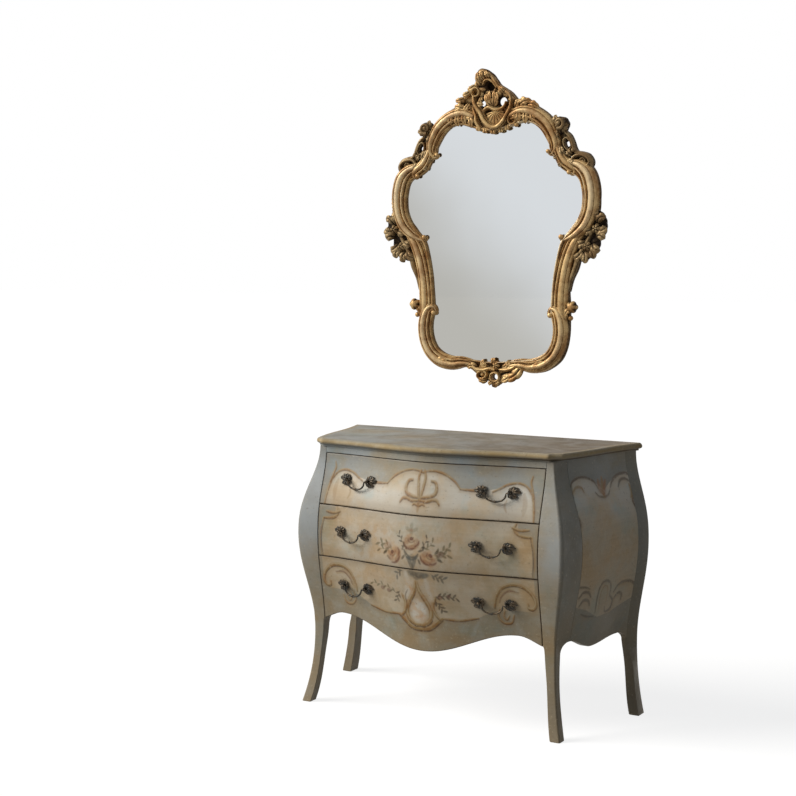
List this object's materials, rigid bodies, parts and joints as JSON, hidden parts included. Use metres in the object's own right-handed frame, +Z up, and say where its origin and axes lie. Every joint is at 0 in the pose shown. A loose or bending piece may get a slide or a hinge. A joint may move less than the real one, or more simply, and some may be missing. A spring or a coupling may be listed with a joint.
{
  "type": "chest of drawers with mirror",
  "caption": "Painted serpentine bombe chest of drawers on splayed legs, with bail pulls, and a carved gilt wall mirror hung above it.",
  "frame": {"origin": "on the floor, under the middle of the overall width and depth of chest and mirror together", "axes": "+Z up, -Y is the front that the drawers open towards, +X is the right side seen from the front"},
  "size_m": [1.1742, 0.5449, 2.144],
  "materials": {
    "painted_wood": "distressed grey-green paint, satin",
    "decorated_front": "cream and grey-green paint with painted scrolls and flowers, satin",
    "bare_wood": "unfinished secondary wood",
    "antique_bronze": "dark antique bronze, rubbed",
    "gilt_carving": "antiqued gilding with dark wash in the hollows",
    "silvered_glass": "polished silvered glass",
    "hanger_iron": "plain iron plate"
  },
  "bodies": {
    "carcass": {"top_board": "painted_wood", "front_left_post_and_leg": "painted_wood", "front_right_post_and_leg": "painted_wood", "back_left_post_and_leg": "painted_wood", "back_right_post_and_leg": "painted_wood", "left_side_panel": "painted_wood", "right_side_panel": "painted_wood", "top_rail": "painted_wood", "upper_divider_rail": "bare_wood", "lower_divider_rail": "bare_wood", "upper_left_runner": "bare_wood", "upper_right_runner": "bare_wood", "lower_left_runner": "bare_wood", "lower_right_runner": "bare_wood", "bottom_panel": "bare_wood", "back_panel": "bare_wood"},
    "upper_drawer": {"upper_drawer_front": "decorated_front", "upper_drawer_left_side": "bare_wood", "upper_drawer_right_side": "bare_wood", "upper_drawer_back": "bare_wood", "upper_drawer_bottom": "bare_wood", "upper_drawer_left_pull_left_rosette": "antique_bronze", "upper_drawer_left_pull_right_rosette": "antique_bronze", "upper_drawer_right_pull_left_rosette": "antique_bronze", "upper_drawer_right_pull_right_rosette": "antique_bronze"},
    "middle_drawer": {"middle_drawer_front": "decorated_front", "middle_drawer_left_side": "bare_wood", "middle_drawer_right_side": "bare_wood", "middle_drawer_back": "bare_wood", "middle_drawer_bottom": "bare_wood", "middle_drawer_left_pull_left_rosette": "antique_bronze", "middle_drawer_left_pull_right_rosette": "antique_bronze", "middle_drawer_right_pull_left_rosette": "antique_bronze", "middle_drawer_right_pull_right_rosette": "antique_bronze"},
    "lower_drawer": {"lower_drawer_front": "decorated_front", "lower_drawer_left_side": "bare_wood", "lower_drawer_right_side": "bare_wood", "lower_drawer_back": "bare_wood", "lower_drawer_bottom": "bare_wood", "lower_drawer_left_pull_left_rosette": "antique_bronze", "lower_drawer_left_pull_right_rosette": "antique_bronze", "lower_drawer_right_pull_left_rosette": "antique_bronze", "lower_drawer_right_pull_right_rosette": "antique_bronze"},
    "upper_left_bail": {"upper_drawer_left_pull_bail": "antique_bronze"},
    "upper_right_bail": {"upper_drawer_right_pull_bail": "antique_bronze"},
    "middle_left_bail": {"middle_drawer_left_pull_bail": "antique_bronze"},
    "middle_right_bail": {"middle_drawer_right_pull_bail": "antique_bronze"},
    "lower_left_bail": {"lower_drawer_left_pull_bail": "antique_bronze"},
    "lower_right_bail": {"lower_drawer_right_pull_bail": "antique_bronze"},
    "mirror": {"mirror_frame": "gilt_carving", "mirror_crest": "gilt_carving", "mirror_left_shoulder": "gilt_carving", "mirror_right_shoulder": "gilt_carving", "mirror_left_spray": "gilt_carving", "mirror_right_spray": "gilt_carving", "mirror_foot_ornament": "gilt_carving", "mirror_glass": "silvered_glass", "mirror_backboard": "bare_wood", "mirror_hanger_plate": "hanger_iron"}
  },
  "joints": [
    {"name": "upper_drawer_slide", "type": "slide", "parent": "carcass", "child": "upper_drawer", "axis": [0, -1, 0], "range_m": [0, 0.3]},
    {"name": "middle_drawer_slide", "type": "slide", "parent": "carcass", "child": "middle_drawer", "axis": [0, -1, 0], "range_m": [0, 0.3]},
    {"name": "lower_drawer_slide", "type": "slide", "parent": "carcass", "child": "lower_drawer", "axis": [0, -1, 0], "range_m": [0, 0.3]},
    {"name": "upper_left_bail_swing", "type": "hinge", "parent": "upper_drawer", "child": "upper_left_bail", "pos_m": [-0.2575, -0.21761, 0.773], "axis": [-0.9856, 0.1694, 0], "range_deg": [-15, 95]},
    {"name": "upper_right_bail_swing", "type": "hinge", "parent": "upper_drawer", "child": "upper_right_bail", "pos_m": [0.2575, -0.21761, 0.773], "axis": [-0.9856, -0.1694, 0], "range_deg": [-15, 95]},
    {"name": "middle_left_bail_swing", "type": "hinge", "parent": "middle_drawer", "child": "middle_left_bail", "pos_m": [-0.2575, -0.25493, 0.602], "axis": [-0.9856, 0.1694, 0], "range_deg": [-32, 95]},
    {"name": "middle_right_bail_swing", "type": "hinge", "parent": "middle_drawer", "child": "middle_right_bail", "pos_m": [0.2575, -0.25493, 0.602], "axis": [-0.9856, -0.1694, 0], "range_deg": [-32, 95]},
    {"name": "lower_left_bail_swing", "type": "hinge", "parent": "lower_drawer", "child": "lower_left_bail", "pos_m": [-0.2575, -0.23477, 0.419], "axis": [-0.9856, 0.1694, 0], "range_deg": [-42, 95]},
    {"name": "lower_right_bail_swing", "type": "hinge", "parent": "lower_drawer", "child": "lower_right_bail", "pos_m": [0.2575, -0.23477, 0.419], "axis": [-0.9856, -0.1694, 0], "range_deg": [-42, 95]},
    {"name": "mirror_lift_off", "type": "slide", "parent": "carcass", "child": "mirror", "axis": [0, 0, 1], "range_m": [0, 0.025]}
  ]
}
